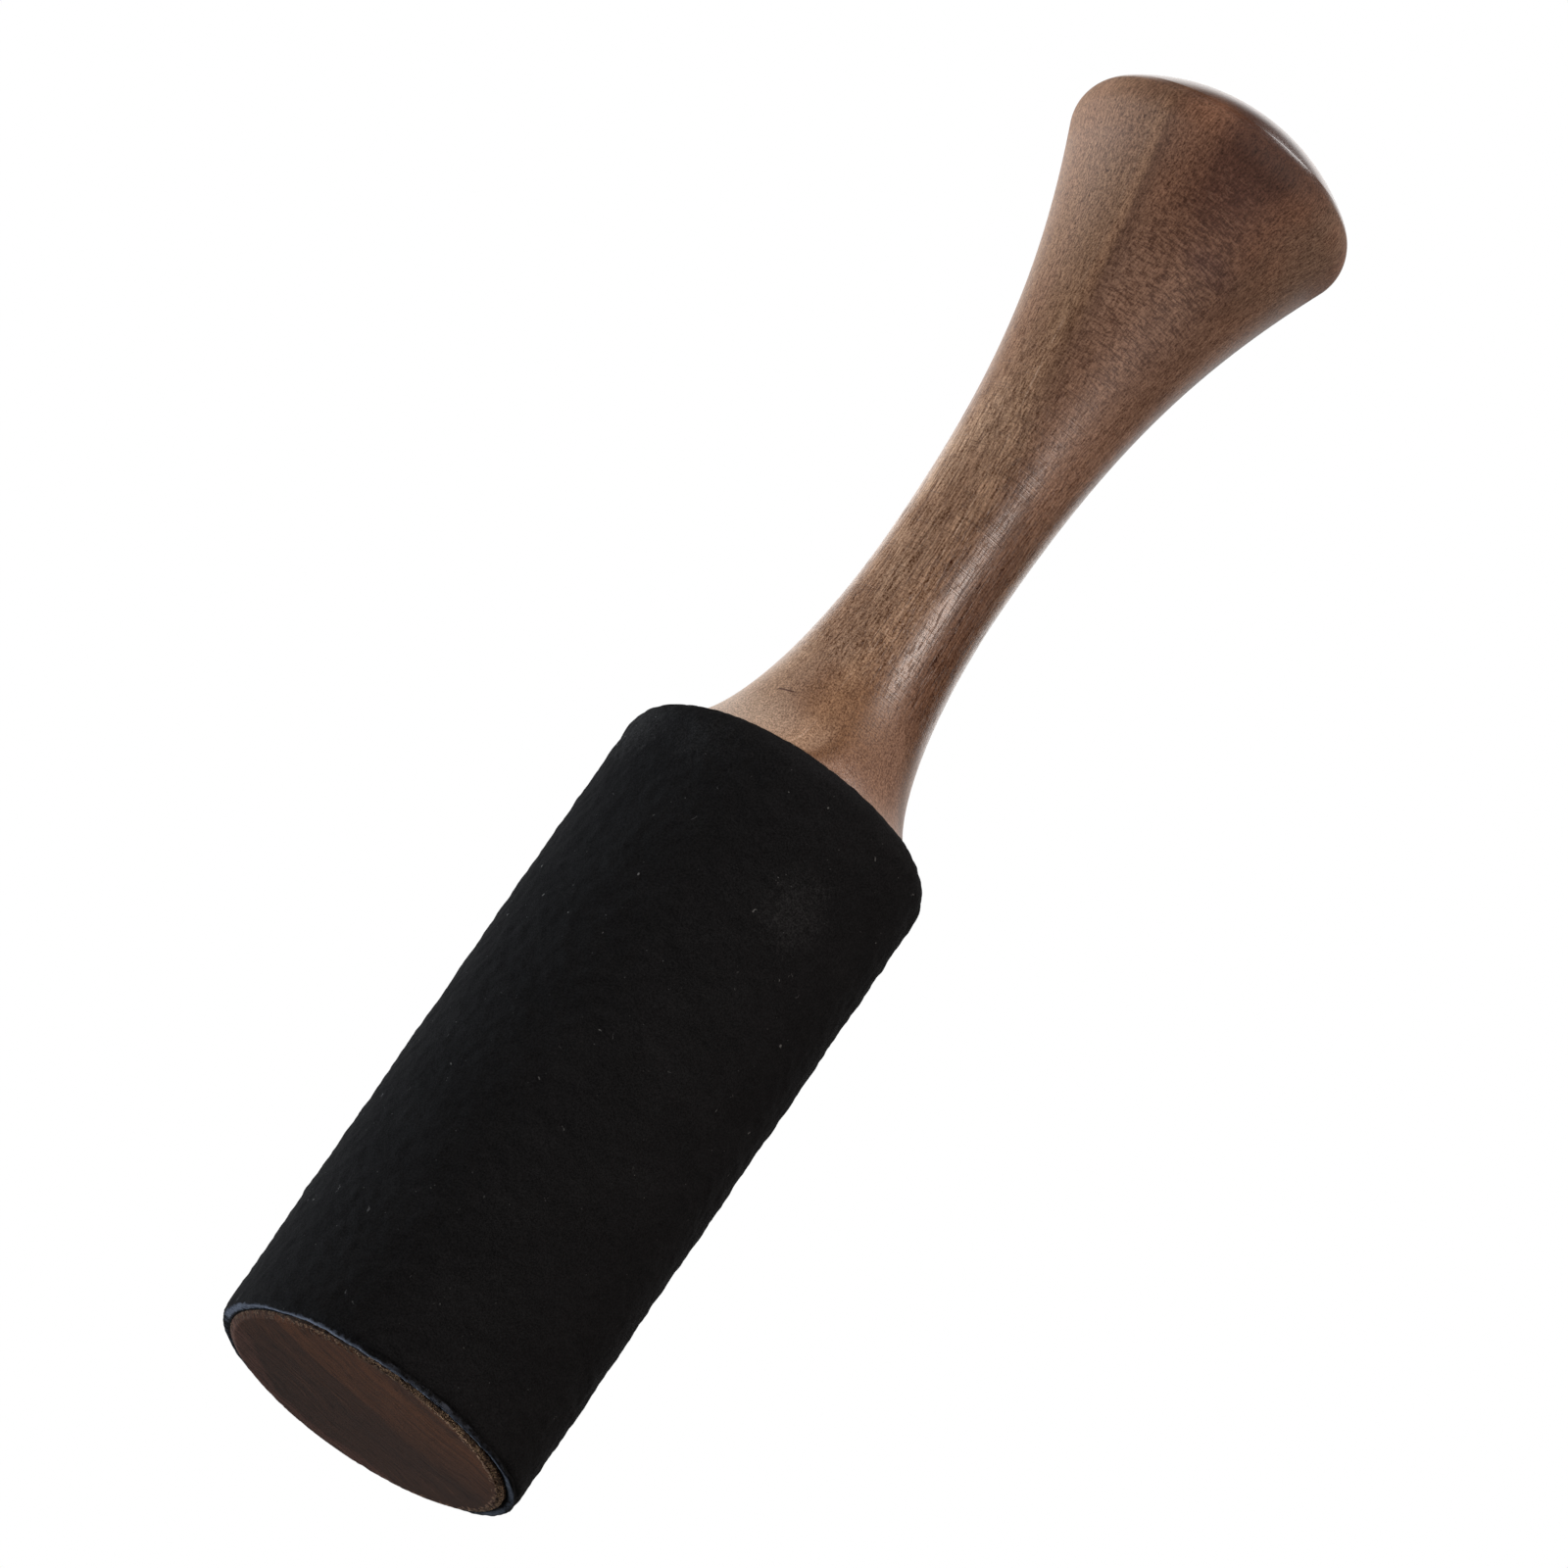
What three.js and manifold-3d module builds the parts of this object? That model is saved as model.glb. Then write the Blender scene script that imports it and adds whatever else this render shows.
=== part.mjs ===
// Singing bowl mallet: a turned hardwood handle, tenoned into a turned head that is wrapped in suede.
// Millimetres, +Z up along the turning axis. The mallet stands on its bare wooden striking end, and the
// origin is the centre of that flat face.

import * as THREE from 'three';
import { mergeVertices } from 'three/addons/utils/BufferGeometryUtils.js';
import Module from 'manifold-3d';

// Suede sleeve
const head_diameter = 42;          // over the suede
const head_height = 94.3;          // from the striking face to the top of the suede
const suede_thickness = 1.3;
const suede_setback = 0.8;         // the wood stands this far proud of the suede's cut edge
const shoulder_radius = 4.1;       // rounding of the suede where it is drawn in over the head
const tucked_width = 2;            // of suede that lies hidden under the handle's foot
const seam_width = 0.4;            // between the two edges of the strip, at the back

// Glue lines, which part the pieces by their own thickness
const glue_line = 0.3;

// Head core
const face_chamfer_width = 0.8;
const face_chamfer_height = 0.4;

// Tenon and socket
const tenon_diameter = 16;
const tenon_length = 30;           // from the foot of the handle down
const tenon_chamfer = 1;

// Handle
const foot_inset = 0.4;            // of the foot's rim from the start of the suede's shoulder rounding
const foot_edge = 0.2;             // thickness of the foot's rim
const foot_to_waist = 35.4;        // heights above the foot
const foot_to_butt = 96.8;
const waist_diameter = 16.8;
const butt_undersize = 0.1;        // on the radius: the butt is turned from the same stock as the head core
const butt_corner_radius = 4.8;
const foot_flare = THREE.MathUtils.degToRad(47);     // between the outline and the axis
const butt_flare = THREE.MathUtils.degToRad(22);
const corner_end_slope = THREE.MathUtils.degToRad(45);  // slopes either side of the faint edge
const dome_slope = THREE.MathUtils.degToRad(42);        // that rings the domed end

// Pull of the two outline curves at their ends, as shares of each curve's height
const foot_pull_share = 0.22;
const waist_pull_share = 0.374;
const butt_pull_share = 0.358;

// Fineness of the turned outlines
const facets = 48;
const curve_steps = 9;
const corner_steps = 5;
const dome_steps = 5;
const shoulder_steps = 5;

const cut_overrun = 1;

// Worked out from the sizes above
const sleeve_radius = head_diameter / 2;
const sleeve_bore_radius = sleeve_radius - suede_thickness;
const core_radius = sleeve_bore_radius - glue_line;
const shoulder_ring_radius = sleeve_radius - shoulder_radius;
const shoulder_base = head_height - shoulder_radius;
const foot_radius = shoulder_ring_radius - foot_inset;
const foot_base = head_height + glue_line;
const tucked_radius = foot_radius - tucked_width;
const butt_radius = core_radius - butt_undersize;
const core_shoulder_radius = core_radius - shoulder_ring_radius;
const core_top = shoulder_base + core_shoulder_radius;
const seat_radius = tucked_radius - glue_line;
const tenon_radius = tenon_diameter / 2;
const socket_radius = tenon_radius + glue_line;
const socket_floor = foot_base - tenon_length - glue_line;

const walnut = new THREE.MeshStandardMaterial({ color: 0x7d5f4b, roughness: 0.42, metalness: 0 });
const bare_end_grain = new THREE.MeshStandardMaterial({ color: 0x3f2e25, roughness: 0.6, metalness: 0 });
const black_suede = new THREE.MeshStandardMaterial({ color: 0x151516, roughness: 0.95, metalness: 0 });

// A point of an outline: its distance from the turning axis and its height
function at(radius, height) {
  return new THREE.Vector2(radius, height);
}

// Points of an arc about (radius, height), between two angles that are measured up from horizontal
function arc(radius, height, arc_radius, from, to, steps) {
  return new THREE.EllipseCurve(radius, height, arc_radius, arc_radius, from, to).getPoints(steps);
}

// Turns an outline about the Z axis. It runs up the outside, from the axis to the axis or round a ring.
function turned(outline) {
  return new THREE.LatheGeometry(outline, facets).rotateX(Math.PI / 2);
}

function handle_outline() {
  const waist_radius = waist_diameter / 2;
  const waist_height = foot_base + foot_to_waist;
  const butt_height = foot_base + foot_to_butt;
  const corner_centre = butt_radius - butt_corner_radius;
  const flank_end = at(
    corner_centre + butt_corner_radius * Math.cos(butt_flare),
    butt_height - butt_corner_radius * Math.sin(butt_flare),
  );
  const foot_rim = foot_base + foot_edge;
  const foot_pull = foot_pull_share * foot_to_waist;
  const waist_to_butt = foot_to_butt - foot_to_waist;
  const butt_pull = butt_pull_share * waist_to_butt;

  const lower_curve = new THREE.CubicBezierCurve(
    at(foot_radius, foot_rim),
    at(foot_radius - foot_pull * Math.sin(foot_flare), foot_rim + foot_pull * Math.cos(foot_flare)),
    at(waist_radius, waist_height - waist_pull_share * foot_to_waist),
    at(waist_radius, waist_height),
  );
  const upper_curve = new THREE.CubicBezierCurve(
    at(waist_radius, waist_height),
    at(waist_radius, waist_height + waist_pull_share * waist_to_butt),
    at(flank_end.x - butt_pull * Math.sin(butt_flare), flank_end.y - butt_pull * Math.cos(butt_flare)),
    flank_end,
  );
  const corner = arc(
    corner_centre, butt_height, butt_corner_radius, -butt_flare, Math.PI / 2 - corner_end_slope, corner_steps,
  );
  const edge = corner.at(-1);
  const dome_radius = edge.x / Math.sin(dome_slope);
  const dome_centre = edge.y - dome_radius * Math.cos(dome_slope);
  const dome = arc(0, dome_centre, dome_radius, Math.PI / 2 - dome_slope, Math.PI / 2, dome_steps);

  const tenon_end = foot_base - tenon_length;
  return [
    at(0, tenon_end),
    at(tenon_radius - tenon_chamfer, tenon_end),
    at(tenon_radius, tenon_end + tenon_chamfer),
    at(tenon_radius, foot_base),
    at(foot_radius, foot_base),
    ...lower_curve.getPoints(curve_steps),
    ...upper_curve.getPoints(curve_steps).slice(1),
    ...corner.slice(1),
    ...dome.slice(1, -1),
    at(0, dome_centre + dome_radius),
  ];
}

function head_core_outline() {
  const shoulder = arc(shoulder_ring_radius, shoulder_base, core_shoulder_radius, 0, Math.PI / 2, shoulder_steps);
  return [
    at(0, 0),
    at(core_radius - face_chamfer_width, 0),
    at(core_radius, face_chamfer_height),
    ...shoulder,
    at(seat_radius, core_top),
    at(seat_radius, foot_base - glue_line),
    at(socket_radius, foot_base - glue_line),
    at(socket_radius, socket_floor),
    at(0, socket_floor),
  ];
}

// A ring section: up the outside, in over the shoulder, and back down the inside
function suede_sleeve_outline() {
  const outside = arc(shoulder_ring_radius, shoulder_base, shoulder_radius, 0, Math.PI / 2, shoulder_steps);
  const inside = arc(
    shoulder_ring_radius, shoulder_base, shoulder_radius - suede_thickness, 0, Math.PI / 2, shoulder_steps,
  );
  return [
    at(sleeve_bore_radius, suede_setback),
    at(sleeve_radius, suede_setback),
    ...outside,
    at(tucked_radius, head_height),
    at(tucked_radius, head_height - suede_thickness),
    ...inside.reverse(),
    at(sleeve_bore_radius, suede_setback),
  ];
}

const wasm = await Module();
wasm.setup();

function as_solid(geometry) {
  const bare = geometry.clone();
  bare.deleteAttribute('normal');
  bare.deleteAttribute('uv');
  const welded = mergeVertices(bare);
  return new wasm.Manifold(new wasm.Mesh({
    numProp: 3,
    vertProperties: new Float32Array(welded.attributes.position.array),
    triVerts: new Uint32Array(welded.index.array),
  }));
}

function as_geometry(solid) {
  const mesh = solid.getMesh();
  const geometry = new THREE.BufferGeometry();
  geometry.setAttribute('position', new THREE.BufferAttribute(mesh.vertProperties, 3));
  geometry.setIndex(new THREE.BufferAttribute(mesh.triVerts, 1));
  geometry.computeVertexNormals();
  return geometry;
}

// The strip's two edges meet in a butt seam down the back, at +Y
function suede_sleeve_geometry() {
  const slit_depth = sleeve_radius + cut_overrun;
  const slit_height = head_height + 2 * cut_overrun;
  const slit = new THREE.BoxGeometry(seam_width, slit_depth, slit_height)
    .translate(0, slit_depth / 2, head_height / 2);
  return as_geometry(as_solid(turned(suede_sleeve_outline())).subtract(as_solid(slit)));
}

function piece(name, geometry, material) {
  const mesh = new THREE.Mesh(geometry, material);
  mesh.name = name;
  return mesh;
}

const mallet = new THREE.Group();
mallet.add(
  piece('handle', turned(handle_outline()), walnut),
  piece('head_core', turned(head_core_outline()), bare_end_grain),
  piece('suede_sleeve', suede_sleeve_geometry(), black_suede),
);

export default mallet;
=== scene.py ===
# The looks of a singing bowl mallet: a turned hardwood handle in a turned head that is wrapped in suede.
# Metres, +Z up the turning axis, with the origin at the centre of the flat striking end and -Y at the
# side that the photograph shows.

import math

import bpy
import numpy as np
from mathutils import Matrix, Vector, noise


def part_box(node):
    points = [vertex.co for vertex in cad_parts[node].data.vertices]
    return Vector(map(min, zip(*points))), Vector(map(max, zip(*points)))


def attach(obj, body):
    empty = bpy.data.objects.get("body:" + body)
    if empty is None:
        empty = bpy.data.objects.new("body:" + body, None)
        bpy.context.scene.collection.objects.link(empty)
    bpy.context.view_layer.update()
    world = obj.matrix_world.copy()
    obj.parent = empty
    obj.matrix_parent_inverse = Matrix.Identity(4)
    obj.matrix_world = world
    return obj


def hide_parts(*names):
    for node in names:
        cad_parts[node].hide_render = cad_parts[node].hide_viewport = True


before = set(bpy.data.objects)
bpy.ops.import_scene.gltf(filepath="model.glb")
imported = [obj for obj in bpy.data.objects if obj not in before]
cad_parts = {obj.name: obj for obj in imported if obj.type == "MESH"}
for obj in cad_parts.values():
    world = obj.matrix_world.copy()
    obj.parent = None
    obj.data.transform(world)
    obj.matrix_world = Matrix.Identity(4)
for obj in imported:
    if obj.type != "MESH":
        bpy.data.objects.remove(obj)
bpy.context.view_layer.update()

MM = 0.001


def millimetres(size):
    """A size in metres as a number of millimetres, which the materials work in."""
    return size / MM


# Sizes that the frame gives
sleeve_low, sleeve_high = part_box("suede_sleeve")
core_low, core_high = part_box("head_core")
handle_low, handle_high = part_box("handle")

SLEEVE_RADIUS = -sleeve_low.x
SUEDE_SETBACK = sleeve_low.z
HEAD_HEIGHT = sleeve_high.z
CORE_RADIUS = -core_low.x
CORE_SEAT_TOP = core_high.z
TENON_END = handle_low.z
HANDLE_TOP = handle_high.z

# Sizes of the head, as the solids have them
SUEDE_THICKNESS = 1.3 * MM
SHOULDER_RADIUS = 4.1 * MM
TUCKED_WIDTH = 2 * MM
SEAM_WIDTH = 0.4 * MM
GLUE_LINE = 0.3 * MM
FACE_CHAMFER_WIDTH = 0.8 * MM
FACE_CHAMFER_HEIGHT = 0.4 * MM
TENON_RADIUS = 8 * MM
TENON_CHAMFER = 1 * MM

# Sizes of the handle's outline, as the solids have them
FOOT_INSET = 0.4 * MM
FOOT_EDGE = 0.2 * MM
FOOT_TO_WAIST = 35.4 * MM
FOOT_TO_BUTT = 96.8 * MM
WAIST_RADIUS = 8.4 * MM
BUTT_UNDERSIZE = 0.1 * MM
BUTT_CORNER_RADIUS = 4.8 * MM
FOOT_FLARE = math.radians(47)
BUTT_FLARE = math.radians(22)
CORNER_END_SLOPE = math.radians(45)
DOME_SLOPE = math.radians(42)
FOOT_PULL_SHARE = 0.22
WAIST_PULL_SHARE = 0.374
BUTT_PULL_SHARE = 0.358

# Worked out from the sizes above
SHOULDER_RING_RADIUS = SLEEVE_RADIUS - SHOULDER_RADIUS
SHOULDER_BASE = HEAD_HEIGHT - SHOULDER_RADIUS
FOOT_RADIUS = SHOULDER_RING_RADIUS - FOOT_INSET
FOOT_BASE = HEAD_HEIGHT + GLUE_LINE
TUCKED_RADIUS = FOOT_RADIUS - TUCKED_WIDTH
BUTT_RADIUS = CORE_RADIUS - BUTT_UNDERSIZE
WAIST_HEIGHT = FOOT_BASE + FOOT_TO_WAIST
BUTT_HEIGHT = FOOT_BASE + FOOT_TO_BUTT
SOCKET_RADIUS = TENON_RADIUS + GLUE_LINE
SOCKET_FLOOR = TENON_END - GLUE_LINE

# The butt's corner is round up to this slope. A narrow straight bevel then leads to the dome's arris.
CORNER_ROUND_END = math.radians(38)
ARRIS_SOFTNESS = 0.12 * MM              # the arris is rounded over this far each way

# Fineness of the meshes
AROUND_WOOD = 256
AROUND_CORE = 512
AROUND_SUEDE = 320
SUEDE_ROW = 0.5 * MM


# Camera, as fitted to the photograph's outline

CAMERA_TARGET = Vector((-1.494, 0, 95.72)) * MM
CAMERA_DISTANCE = 1779.65 * MM
CAMERA_BELOW = math.radians(19.748)     # it looks up at the mallet by this angle
CAMERA_ROLL = math.radians(34.56)
CAMERA_LENS_MM = 337.1


def make_camera():
    forward = Vector((0, math.cos(CAMERA_BELOW), math.sin(CAMERA_BELOW)))
    level_up = Vector((0, -math.sin(CAMERA_BELOW), math.cos(CAMERA_BELOW)))
    level_right = Vector((1, 0, 0))
    right = level_right * math.cos(CAMERA_ROLL) + level_up * math.sin(CAMERA_ROLL)
    up = level_up * math.cos(CAMERA_ROLL) - level_right * math.sin(CAMERA_ROLL)
    data = bpy.data.cameras.new("camera")
    data.lens = CAMERA_LENS_MM
    data.clip_end = 100
    camera = bpy.data.objects.new("camera", data)
    axes = Matrix((right, up, -forward)).transposed().to_4x4()
    camera.matrix_world = Matrix.Translation(CAMERA_TARGET - forward * CAMERA_DISTANCE) @ axes
    bpy.context.scene.collection.objects.link(camera)
    bpy.context.scene.camera = camera


# Outlines

def arc(radius, height, arc_radius, start, end, steps):
    """Points (radius, height) of an arc, between two angles that are measured up from horizontal."""
    angles = np.linspace(start, end, steps + 1)
    return [(radius + arc_radius * math.cos(a), height + arc_radius * math.sin(a)) for a in angles]


def curve(start, start_pull, end_pull, end, steps):
    """Points of a cubic Bezier curve."""
    points = []
    for t in np.linspace(0, 1, steps + 1):
        shares = ((1 - t) ** 3, 3 * (1 - t) ** 2 * t, 3 * (1 - t) * t * t, t ** 3)
        corners = (start, start_pull, end_pull, end)
        points.append(tuple(sum(s * c[k] for s, c in zip(shares, corners)) for k in (0, 1)))
    return points


def straight(start, end, steps):
    """Evenly spaced points from start to end."""
    start, end = np.array(start), np.array(end)
    return [tuple(start + (end - start) * t) for t in np.linspace(0, 1, steps + 1)]


def butt_end(corner_end):
    """The bevel, the softened arris and the dome, from the end of the butt's round corner to the axis."""
    solid_edge = BUTT_RADIUS - BUTT_CORNER_RADIUS + BUTT_CORNER_RADIUS * math.sin(CORNER_END_SLOPE)
    dome_radius = solid_edge / math.sin(DOME_SLOPE)
    dome_centre = np.array((0, HANDLE_TOP - dome_radius))

    bevel_way = np.array((-math.sin(CORNER_ROUND_END), math.cos(CORNER_ROUND_END)))
    start = np.array(corner_end)
    out = start - dome_centre
    leaning = bevel_way @ out
    bevel_length = math.sqrt(leaning ** 2 + dome_radius ** 2 - out @ out) - leaning
    arris = start + bevel_way * bevel_length
    before = arris - bevel_way * ARRIS_SOFTNESS

    dome_start = math.atan2(*(arris - dome_centre)[::-1]) + ARRIS_SOFTNESS / dome_radius
    dome = arc(*dome_centre, dome_radius, dome_start, math.pi / 2, steps=40)
    after = np.array(dome[0])
    pulls = [end + (arris - end) * 2 / 3 for end in (before, after)]
    return [*curve(before, *pulls, after, steps=6), *dome[1:-1], (0, HANDLE_TOP)]


def handle_outline():
    corner_centre = BUTT_RADIUS - BUTT_CORNER_RADIUS
    flank_x = corner_centre + BUTT_CORNER_RADIUS * math.cos(BUTT_FLARE)
    flank_z = BUTT_HEIGHT - BUTT_CORNER_RADIUS * math.sin(BUTT_FLARE)
    foot_rim = FOOT_BASE + FOOT_EDGE
    foot_pull = FOOT_PULL_SHARE * FOOT_TO_WAIST
    waist_to_butt = FOOT_TO_BUTT - FOOT_TO_WAIST
    butt_pull = BUTT_PULL_SHARE * waist_to_butt
    lower_curve = curve(
        (FOOT_RADIUS, foot_rim),
        (FOOT_RADIUS - foot_pull * math.sin(FOOT_FLARE), foot_rim + foot_pull * math.cos(FOOT_FLARE)),
        (WAIST_RADIUS, WAIST_HEIGHT - WAIST_PULL_SHARE * FOOT_TO_WAIST),
        (WAIST_RADIUS, WAIST_HEIGHT),
        steps=80,
    )
    upper_curve = curve(
        (WAIST_RADIUS, WAIST_HEIGHT),
        (WAIST_RADIUS, WAIST_HEIGHT + WAIST_PULL_SHARE * waist_to_butt),
        (flank_x - butt_pull * math.sin(BUTT_FLARE), flank_z - butt_pull * math.cos(BUTT_FLARE)),
        (flank_x, flank_z),
        steps=120,
    )
    corner = arc(corner_centre, BUTT_HEIGHT, BUTT_CORNER_RADIUS, -BUTT_FLARE, CORNER_ROUND_END, steps=24)
    tenon_side = straight((TENON_RADIUS, TENON_END + TENON_CHAMFER), (TENON_RADIUS, FOOT_BASE), steps=20)
    return [
        (0, TENON_END),
        (TENON_RADIUS - TENON_CHAMFER, TENON_END),
        *tenon_side,
        (FOOT_RADIUS, FOOT_BASE),
        *lower_curve,
        *upper_curve[1:],
        *corner[1:],
        *butt_end(corner[-1]),
    ]


def core_outline():
    core_shoulder_radius = CORE_RADIUS - SHOULDER_RING_RADIUS
    seat_radius = TUCKED_RADIUS - GLUE_LINE
    chamfer_start = (CORE_RADIUS - FACE_CHAMFER_WIDTH, 0)
    chamfer_end = (CORE_RADIUS, FACE_CHAMFER_HEIGHT)
    wall_top = (CORE_RADIUS, SUEDE_SETBACK + SUEDE_THICKNESS)
    shoulder = arc(SHOULDER_RING_RADIUS, SHOULDER_BASE, core_shoulder_radius, 0, math.pi / 2, steps=12)
    return [
        *straight((0, 0), chamfer_start, steps=60),
        *straight(chamfer_start, chamfer_end, steps=8)[1:],
        *straight(chamfer_end, wall_top, steps=12)[1:],
        *straight(wall_top, shoulder[0], steps=24)[1:],
        *shoulder[1:],
        (seat_radius, SHOULDER_BASE + core_shoulder_radius),
        (seat_radius, CORE_SEAT_TOP),
        *straight((SOCKET_RADIUS, CORE_SEAT_TOP), (SOCKET_RADIUS, SOCKET_FLOOR), steps=16),
        (0, SOCKET_FLOOR),
    ]


# Meshes

def as_object(name, points, faces, material, sharp_over=35):
    mesh = bpy.data.meshes.new(name)
    mesh.from_pydata([tuple(p) for p in points], [], faces)
    mesh.polygons.foreach_set("use_smooth", [True] * len(mesh.polygons))
    mesh.set_sharp_from_angle(angle=math.radians(sharp_over))
    mesh.validate()
    mesh.update()
    mesh.materials.append(material)
    piece = bpy.data.objects.new(name, mesh)
    bpy.context.scene.collection.objects.link(piece)
    return piece


def turned(name, outline, around, material, relief=None):
    """Turns an outline that starts and ends on the axis.

    relief(x, y, z) gives a point's shift outward and up.
    """
    rings = outline[1:-1]
    points = [(0, 0, outline[0][1])]
    for radius, height in rings:
        for step in range(around):
            angle = 2 * math.pi * step / around
            x, y = math.cos(angle), math.sin(angle)
            out, rise = relief(radius * x, radius * y, height) if relief else (0, 0)
            points.append(((radius + out) * x, (radius + out) * y, height + rise))
    points.append((0, 0, outline[-1][1]))
    top = len(points) - 1
    faces = []
    for step in range(around):
        after = (step + 1) % around
        faces.append((0, 1 + after, 1 + step))
        for ring in range(len(rings) - 1):
            low, high = 1 + ring * around, 1 + (ring + 1) * around
            faces.append((low + step, low + after, high + after, high + step))
        last = 1 + (len(rings) - 1) * around
        faces.append((last + step, last + after, top))
    return as_object(name, points, faces, material)


def soft_noise(x, y, z, grain, seed):
    """Smooth noise, mostly within -0.6 to 0.6, whose lumps are about one grain across."""
    return noise.noise(Vector((x / grain + seed, y / grain - seed, z / grain)))


def smooth_step(low, high, value):
    t = min(1, max(0, (value - low) / (high - low)))
    return t * t * (3 - 2 * t)


# The striking end's raw edge is rough, because the saw and the sander have chewed its chamfer and wall
RAW_EDGE_START = CORE_RADIUS - 2.2 * FACE_CHAMFER_WIDTH
CHEWED_IN = 0.10 * MM
CHEWED_UP = 0.08 * MM
CHEWED_COARSE = 2.4 * MM                # grain of the coarse and the fine lumps
CHEWED_FINE = 0.5 * MM


def core_relief(x, y, z):
    """How far the raw edge of the striking end is chewed away, and up."""
    from_axis = math.hypot(x, y)
    if z > SUEDE_SETBACK or from_axis < RAW_EDGE_START:
        return 0, 0
    strength = smooth_step(RAW_EDGE_START, RAW_EDGE_START + FACE_CHAMFER_WIDTH, from_axis)
    coarse = soft_noise(x, y, z, CHEWED_COARSE, seed=3)
    fine = soft_noise(x, y, z, CHEWED_FINE, seed=7)
    chewed_in = CHEWED_IN * strength * abs(coarse + 0.6 * fine)
    chewed_up = CHEWED_UP * strength * max(0, fine + 0.4 * coarse)
    return -chewed_in, chewed_up


# The first rows above the cut edge lie closer than the rest, at these shares of a row from it
NEAR_EDGE_SHARES = (0, 0.1, 0.22, 0.38)
FIRST_EVEN_SHARE = 0.6
SHOULDER_ROWS = 14
TUCKED_ROWS = 8


def sleeve_path():
    """Points of the suede's outer face from the cut edge to the tucked edge, each with its slope."""
    near_edge = [SUEDE_SETBACK + SUEDE_ROW * share for share in NEAR_EDGE_SHARES]
    rows = round((SHOULDER_BASE - SUEDE_SETBACK) / SUEDE_ROW)
    even_start = SUEDE_SETBACK + FIRST_EVEN_SHARE * SUEDE_ROW
    wall = near_edge + list(np.linspace(even_start, SHOULDER_BASE, rows))
    path = [(SLEEVE_RADIUS, height, 0.0) for height in wall]
    for angle in np.linspace(0, math.pi / 2, SHOULDER_ROWS + 1)[1:]:
        radius = SHOULDER_RING_RADIUS + SHOULDER_RADIUS * math.cos(angle)
        path.append((radius, SHOULDER_BASE + SHOULDER_RADIUS * math.sin(angle), angle))
    for radius in np.linspace(SHOULDER_RING_RADIUS, TUCKED_RADIUS, TUCKED_ROWS + 1)[1:]:
        path.append((radius, HEAD_HEIGHT, math.pi / 2))
    return path


# The cut edge's profile: a share of the suede's thickness, from the glue outward, and how far it hangs
# past the solid's edge there. The hide's pale core has pushed out between its two dark faces.
CUT_EDGE = (
    (0, 0.20 * MM), (0.18, 0.20 * MM), (0.34, 0.24 * MM), (0.42, 0.42 * MM), (0.50, 0.58 * MM),
    (0.60, 0.60 * MM), (0.70, 0.48 * MM), (0.82, 0.34 * MM), (0.93, 0.16 * MM), (1, 0),
)
PALE_CORE = (0.38, 0.74)                # shares of the thickness where the hide's core shows
CUT_EDGE_REACH = 2 * MM                 # its unevenness fades out over this height
CUT_EDGE_RISE = 0.2 * MM                # it isn't quite square: it hangs in front and is higher behind
SIDE_HANG = 0.5 * MM                    # at the mallet's sides its profile is flat and hangs by this
FULL_HANG_SHARE = 0.9                   # from this share outward the profile is the same all round
WORN_CORNER = 0.25 * MM
WORN_REACH = 0.5 * MM
SWELLED_IN = 0.2 * MM                   # beside the cut the hide has swelled towards the wood
SWELLED_REACH = 1 * MM
PUFFED_UP = 0.22 * MM                   # the suede stands up by this round the handle's foot
PUFF_START = 0.4 * MM
PUFF_REACH = 1 * MM

# Lumps of the nap and of the cut edge: (depth, grain, seed)
NAP_LUMPS = ((0.12 * MM, 9 * MM, 11), (0.10 * MM, 2.3 * MM, 5), (0.15 * MM, 1.2 * MM, 2))
CUT_EDGE_LUMPS = ((0.28 * MM, 8 * MM, 9), (0.08 * MM, 2 * MM, 4), (0.05 * MM, 0.7 * MM, 6))


def lumps(x, y, z, layers):
    """The sum of some layers of soft noise."""
    return sum(depth * soft_noise(x, y, z, grain, seed) for depth, grain, seed in layers)


def sleeve_point(angle, row, layer, path):
    radius, height, slope = path[row]
    share, hang = CUT_EDGE[layer]
    x, y = radius * math.cos(angle), radius * math.sin(angle)
    nap = lumps(x, y, height, NAP_LUMPS)
    shift = nap * share - SUEDE_THICKNESS * (1 - share)
    lift = 0
    if slope == 0:
        from_cut = height - SUEDE_SETBACK
        shift -= WORN_CORNER * share ** 6 * (1 - smooth_step(0, WORN_REACH, from_cut))
        uneven = lumps(x, y, 0, CUT_EDGE_LUMPS)
        in_front = (1 - math.sin(angle)) / 2
        if share < FULL_HANG_SHARE:
            hang += (SIDE_HANG - hang) * math.cos(angle) ** 4
        shift -= SWELLED_IN * (1 - share) * (1 - smooth_step(0, SWELLED_REACH, from_cut))
        slant = CUT_EDGE_RISE * (1 - in_front) - hang * in_front
        near_cut = 1 - smooth_step(0, CUT_EDGE_REACH, from_cut)
        lift = (uneven * (0.3 + 0.7 * in_front) + slant) * near_cut
    elif radius < SHOULDER_RING_RADIUS + PUFF_REACH:
        near_foot = smooth_step(FOOT_RADIUS - PUFF_START, FOOT_RADIUS, radius)
        past_ring = smooth_step(SHOULDER_RING_RADIUS, SHOULDER_RING_RADIUS + PUFF_REACH, radius)
        shift += PUFFED_UP * near_foot * share * (1 - past_ring)
        if radius < FOOT_RADIUS:
            shift -= nap * share
    radial = radius + math.cos(slope) * shift
    return radial * math.cos(angle), radial * math.sin(angle), height + math.sin(slope) * shift + lift


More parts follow.
